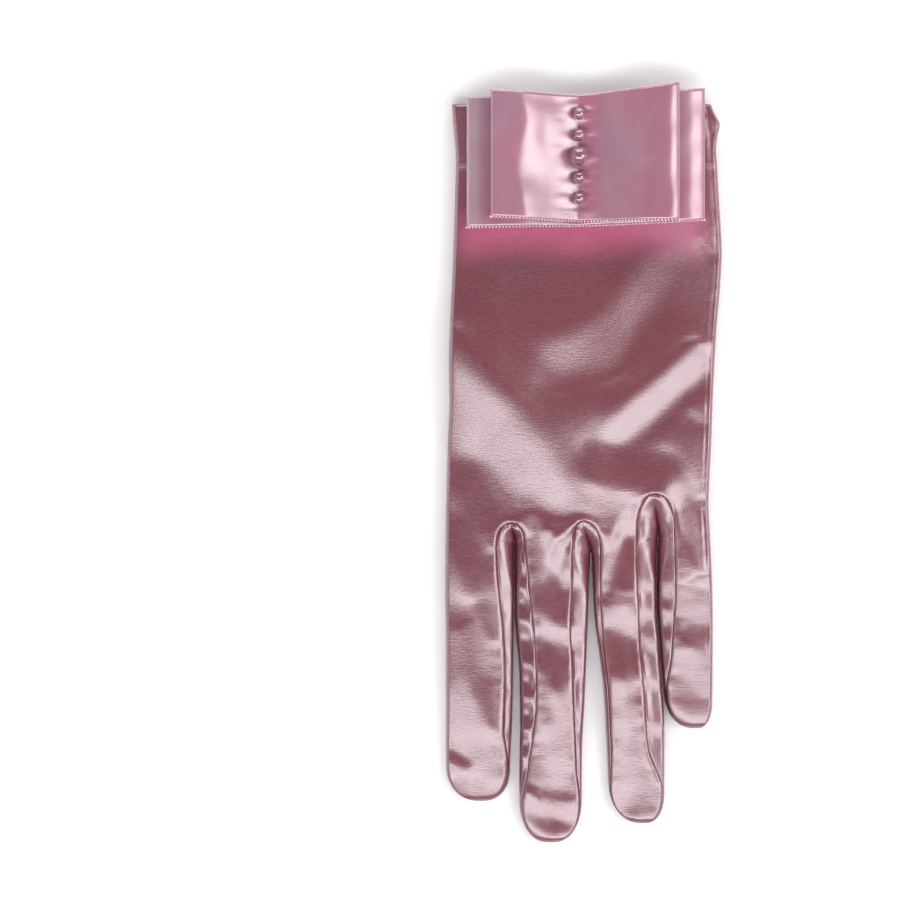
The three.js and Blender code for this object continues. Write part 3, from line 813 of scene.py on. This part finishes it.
def thumb_layer(under):
    """The thumb's upper or under layer: its points in metres, and its faces."""
    points, faces = [], []
    ends = thumb_half.x
    for turn in np.linspace(-math.pi / 2, math.pi / 2, thumb_rows + 1):
        along = thumb_half.y * math.sin(turn)
        past = max(abs(along) - (thumb_half.y - ends), 0) / ends
        wide = round(thumb_half.x * math.sqrt(max(1 - past * past, 0)), 6)
        for u in np.sin(np.linspace(-math.pi / 2, math.pi / 2, thumb_columns + 1)):
            inside = max(ends - math.hypot(wide * u, past * ends), 0)
            x, y = thumb_middle.x + wide * u, thumb_middle.y - along
            if under:
                z = thumb_side * (1 - float(rounded(inside, 3.0)))
            else:
                up = float(rounded(inside, 4.5))
                dent = 0.5 * up * (1 - noise.noise(Vector((x / 9, y / 9, 8)))) / 2
                z = thumb_side + (thumb_top - thumb_side) * up - dent
            points.append((x / 1000, y / 1000, z / 1000))
    for r in range(thumb_rows):
        for c in range(thumb_columns):
            a = r * (thumb_columns + 1) + c
            face = (a, a + 1, a + thumb_columns + 2, a + thumb_columns + 1)
            middle = np.mean([points[i] for i in face], axis=0)
            place = ((middle[0] - middle_x) * 1000, (hem_y - middle[1]) * 1000)
            if not under and in_thumb_hole([place]):
                continue
            faces.append(face if under else face[::-1])
    return points, faces


upper, upper_faces = thumb_layer(False)
lower, lower_faces = thumb_layer(True)
faces = upper_faces + [tuple(i + len(upper) for i in f) for f in lower_faces]
thumb_mesh = mesh_from(upper + lower, faces, "thumb_cloth")
thumb = applied(new_object("thumb_cloth", thumb_mesh, satin), cloth_thick)
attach(thumb, "root")
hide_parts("thumb")


# Bow
# Two flat loops of satin ribbon, a long one with a short one on it, pinched together near the
# middle. The ribbon's edges have a row of tiny woven picots.
ribbon_thick = 0.0003
pinch_x = -1.6
# A loop's height at the pinch, its gap to what it lies on, and the height it has beyond the cloth.
pinch_high, ribbon_gap, beyond_cloth = 0.9, 0.45, 9.8
loop_columns, loop_rows = 44, 150
# The weights that even out what the ribbon lies on.
ease = np.hanning(21)[1:-1]


def height_over(piece):
    """The height of the piece's upper side at a place, in millimetres."""
    tree = BVHTree.FromObject(piece, bpy.context.evaluated_depsgraph_get())

    def height(x, s):
        place = Vector((middle_x + x / 1000, hem_y - s / 1000, 0.2))
        hit = tree.ray_cast(place, Vector((0, 0, -1)))[0]
        return hit.z * 1000 if hit else None

    return height


def ribbon_loop(name, rest, left, right, upper, lower, high, crest, paint):
    """A loop from left to right. upper and lower are its edges' places along the glove at the left
    end, the pinch and the right end. rest is the height that it lies on, and crest the share of its
    own height at each place. Returns the ribbon and the lines of its edges."""

    def from_pinch(x):
        """0 at the pinch and 1 at the loop's end."""
        return (pinch_x - x) / (pinch_x - left) if x < pinch_x else (x - pinch_x) / (right - pinch_x)

    def edge_at(edge, x):
        at_left, at_pinch, at_right = edge
        t = from_pinch(x)
        return at_pinch + ((at_left if x < pinch_x else at_right) - at_pinch) * t * (0.6 + 0.4 * t)

    turns = np.linspace(-math.pi / 2, math.pi / 2, loop_rows + 1)
    top_rows, low_rows = [], []
    for x in (left + right) / 2 + (right - left) / 2 * np.sin(turns):
        t = min(max(from_pinch(x), 0), 1)
        round_end = math.sqrt(max(1 - t**110, 0))
        near_pinch = math.exp(-(((x - pinch_x) / 5.5) ** 2))
        tops, lows = [], []
        places = np.linspace(edge_at(upper, x), edge_at(lower, x), loop_columns + 1)
        unders = [rest(x, max(s, 0.8)) or beyond_cloth for s in places]
        unders = np.convolve(np.pad(unders, len(ease) // 2, "edge"), ease / ease.sum(), "valid")
        for k, (s, under) in enumerate(zip(places, unders)):
            swell = pinch_high + (high - pinch_high) * crest(t, k / loop_columns, x < pinch_x)
            low = under + ribbon_gap + 0.4 * high * (1 - round_end)
            top = low + swell * round_end
            gather = noise.noise(Vector((x * 0.12, s * 0.55, left))) * 0.55 * near_pinch
            wave = noise.noise(Vector((x * 0.11, s * 0.09, left + 3))) * 0.16
            wave += noise.noise(Vector((x * 0.17, s * 0.13, left))) * 0.2
            wave *= (1 - near_pinch) * round_end
            tops.append((x, s, max(top + gather * round_end + wave, low)))
            lows.append((x, s, low))
        top_rows.append(tops)
        low_rows.append(lows)
    rows = [*top_rows, *low_rows[-2:0:-1]]
    points = to_frame(np.array(rows).reshape(-1, 3))
    wide, around = loop_columns + 1, len(rows)
    faces = []
    for r in range(around):
        for k in range(loop_columns):
            a, b = r * wide + k, ((r + 1) % around) * wide + k
            faces.append((a, a + 1, b + 1, b))
    ribbon = applied(new_object(name, mesh_from(points, faces, name), paint), ribbon_thick)
    shown = points.reshape(around, wide, 3)
    return ribbon, [np.vstack([shown[:, k], shown[:1, k]]) for k in (0, -1)]


def strewn_along(name, lines, pitch, size, paint):
    """Small threads at an even pitch along the lines, made by a node group with named inputs."""
    group = bpy.data.node_groups.get("threads_along")
    if not group:
        group = bpy.data.node_groups.new("threads_along", "GeometryNodeTree")
        face = group.interface
        face.new_socket("Lines", in_out="INPUT", socket_type="NodeSocketGeometry")
        face.new_socket("Pitch", in_out="INPUT", socket_type="NodeSocketFloat")
        face.new_socket("Size", in_out="INPUT", socket_type="NodeSocketVector")
        face.new_socket("Seed", in_out="INPUT", socket_type="NodeSocketInt")
        face.new_socket("Thread", in_out="INPUT", socket_type="NodeSocketMaterial")
        face.new_socket("Threads", in_out="OUTPUT", socket_type="NodeSocketGeometry")
        nodes, link = group.nodes, group.links.new
        given, made = nodes.new("NodeGroupInput"), nodes.new("NodeGroupOutput")
        curve_of, points = nodes.new("GeometryNodeMeshToCurve"), nodes.new("GeometryNodeCurveToPoints")
        ball, strew = nodes.new("GeometryNodeMeshIcoSphere"), nodes.new("GeometryNodeInstanceOnPoints")
        turn, vary = nodes.new("FunctionNodeAlignRotationToVector"), nodes.new("FunctionNodeRandomValue")
        scale, real = nodes.new("ShaderNodeVectorMath"), nodes.new("GeometryNodeRealizeInstances")
        paint_it = nodes.new("GeometryNodeSetMaterial")
        points.mode, ball.inputs["Radius"].default_value = "LENGTH", 0.5
        ball.inputs["Subdivisions"].default_value = 2
        turn.axis, scale.operation = "X", "SCALE"
        vary.inputs[2].default_value, vary.inputs[3].default_value = 0.88, 1.12
        link(given.outputs["Lines"], curve_of.inputs[0])
        link(curve_of.outputs[0], points.inputs[0])
        link(given.outputs["Pitch"], points.inputs["Length"])
        link(points.outputs["Points"], strew.inputs["Points"])
        link(points.outputs["Tangent"], turn.inputs["Vector"])
        link(turn.outputs[0], strew.inputs["Rotation"])
        link(ball.outputs["Mesh"], strew.inputs["Instance"])
        link(given.outputs["Seed"], vary.inputs["Seed"])
        link(given.outputs["Size"], scale.inputs[0])
        link(vary.outputs[1], scale.inputs["Scale"])
        link(scale.outputs[0], strew.inputs["Scale"])
        link(strew.outputs[0], real.inputs[0])
        link(real.outputs[0], paint_it.inputs["Geometry"])
        link(given.outputs["Thread"], paint_it.inputs["Material"])
        link(paint_it.outputs[0], made.inputs[0])
    points, edges = [], []
    for line in lines:
        edges += [(len(points) + i, len(points) + i + 1) for i in range(len(line) - 1)]
        points += [tuple(p) for p in line]
    mesh = bpy.data.meshes.new(name)
    mesh.from_pydata(points, edges, [])
    threads = new_object(name, mesh, paint)
    strewn = threads.modifiers.new("threads", "NODES")
    strewn.node_group = group
    for item in group.interface.items_tree:
        value = {"Pitch": pitch, "Size": size, "Seed": 7, "Thread": paint}.get(item.name)
        if value is not None:
            strewn[item.identifier] = value
    return applied(threads)


# The ribbon's tone also changes across the bow: a painted grey sheen at the left end of the long loop,
# painted magenta shade in the crease beside the pinch, and pinker towards the short loop's right end.
ribbon_paint, shader, start = material("ribbon_satin", IOR=1.8, Specular_IOR_Level=1.0)
ribs = speckle(start, place_on(start, (0.3, 2.2, 1.0)), 1.0, 1)
broad = speckle(start, place_on(start), 0.04, 1)
tone = broad.between(0.3, 0.7).mix((0.31, 0.145, 0.205), (0.36, 0.125, 0.182))
across = place_along(start, 0)
# Painted shade: magenta in the crease just right of the pinch.
pinch_shade = across.between(-0.003, 0.0005) * (1 - across.between(0.0005, 0.007))
tone = (pinch_shade * 0.6).mix(tone, (0.4, 0.1, 0.185))
# Painted sheen: grey-lavender at the long loop's left end, standing in for its highlight.
tone = across.between(-0.0342, -0.0308).mix((0.345, 0.21, 0.26), tone)
pinker = across.between(0.0165, 0.021) * (1 - across.between(0.0285, 0.0295)) * 0.5
tone = pinker.mix(tone, (0.3, 0.085, 0.135))
bump = start.node("ShaderNodeBump", inputs={"Strength": 0.2, "Distance": 0.00005, "Height": ribs})
feed(shader, start, Base_Color=tone, Roughness=ribs * 0.05 + 0.28, Normal=bump)

picot_paint, shader, start = material("picot_thread", Roughness=0.5)
grain = speckle(start, place_on(start), 2.0)
feed(shader, start, Base_Color=grain.mix((0.72, 0.46, 0.56), (0.84, 0.58, 0.67)))


def droop(t, onset):
    """How far the loop's end hangs, from the onset on, with a soft bend there."""
    return (t - onset + math.hypot(t - onset, 0.055)) / 2


def back_crest(t, v, at_left):
    """The long loop's height, t from the pinch to its end. v, from edge to edge, is not used."""
    return float(soft(t / 0.6)) - (0 if at_left else 4.6 * droop(t, 0.9))


def front_crest(t, v, at_left):
    """The short loop's height. Its left half has a crest that bends like an S."""
    if not at_left:
        return float(0.5 * soft(t / 0.75) + 0.5 * min(t / 0.75, 1)) - 3.1 * droop(t, 0.925)
    at = 0.565 + 0.135 * math.exp(-(((v - 0.6) / 0.26) ** 2)) + 0.09 * math.exp(-((v / 0.1) ** 2))
    rise = t / at
    rise = 1 - math.sqrt(((1 - rise) / 2) ** 2 + 0.0016) + (rise - 1) / 2
    return 0.8 * rise + 0.2 * float(soft(rise)) - 0.10 * float(soft((t - at) / 0.25))


back_loop, edges = ribbon_loop(
    "bow_loop_back_ribbon", height_over(trank), -36.7, 37.7,
    (-1.9, -2.4, -4.7), (38.7, 38.2, 36.4), 4.6, back_crest, ribbon_paint,
)
front_loop, front_edges = ribbon_loop(
    "bow_loop_front_ribbon", height_over(back_loop), -29.3, 29.6,
    (-3.8, -2.5, -6.2), (35.6, 36.9, 36.6), 5.6, front_crest, ribbon_paint,
)
for loop, node, length in ((back_loop, "bow_loop_back", 0.156), (front_loop, "bow_loop_front", 0.127)):
    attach(loop, "root")
    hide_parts(node)
picot_pitch, picot_size = 0.00105, (0.00052, 0.0006, 0.0005)
picots = strewn_along("bow_picots", edges + front_edges, picot_pitch, picot_size, picot_paint)
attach(picots, "root")


# Pearls
# Five glossy imitation pearls in a column down the pinch, the large one in the middle. They are sewn
# on one by one, and each sits on the ribbon, sunk in a little.
lacquer = {"Coat_Weight": 1.0, "Coat_IOR": 1.8, "Coat_Roughness": 0.07}
pearl_paint, shader, start = material("pink_pearl", Roughness=0.2, Specular_IOR_Level=0.8, **lacquer)
sunk_in = 0.0002
depth = speckle(start, place_on(start), 0.25)
feed(shader, start, Base_Color=depth.between(0.3, 0.7).mix((0.22, 0.075, 0.1), (0.29, 0.115, 0.145)))
bow_top = height_over(front_loop)
for number in range(1, 6):
    low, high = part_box(f"pearl_{number}")
    middle, size = (low + high) / 2, high.x - low.x
    bm = bmesh.new()
    bmesh.ops.create_uvsphere(bm, u_segments=48, v_segments=32, radius=size / 2)
    top = bow_top((middle.x - middle_x) * 1000, (hem_y - middle.y) * 1000)
    bead_at = (middle.x, middle.y, top / 1000 + size / 2 - sunk_in)
    bmesh.ops.translate(bm, verts=bm.verts, vec=bead_at)
    mesh = bpy.data.meshes.new(f"pearl_{number}_bead")
    bm.to_mesh(mesh)
    bm.free()
    pearl = applied(new_object(f"pearl_{number}_bead", mesh, pearl_paint))
    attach(pearl, "root")
    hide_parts(f"pearl_{number}")


# Hem stitches
# The turned hem is held by a row of small stitches all round, in thread of nearly the satin's colour.
# On the upper side they lie in the hem's groove.
thread_paint, shader, start = material("hem_thread", Roughness=0.45)
grain = speckle(start, place_on(start), 2.0)
feed(shader, start, Base_Color=grain.mix((0.22, 0.06, 0.085), (0.3, 0.1, 0.13)))
trank_top = height_over(trank)
stitched_at = hem_wide - 1
line = [(x, stitched_at, trank_top(x, stitched_at) + 0.05) for x in np.linspace(-38.5, 40, 120)]
under_line = [(x, s, 0.12) for x, s, _ in line[4:-4]]
lines = [to_frame(np.array(places)) for places in (line, under_line)]
stitch_pitch, stitch_size = 0.0026, (0.0017, 0.00032, 0.0003)
stitches = strewn_along("hem_stitches", lines, stitch_pitch, stitch_size, thread_paint)
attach(stitches, "root")
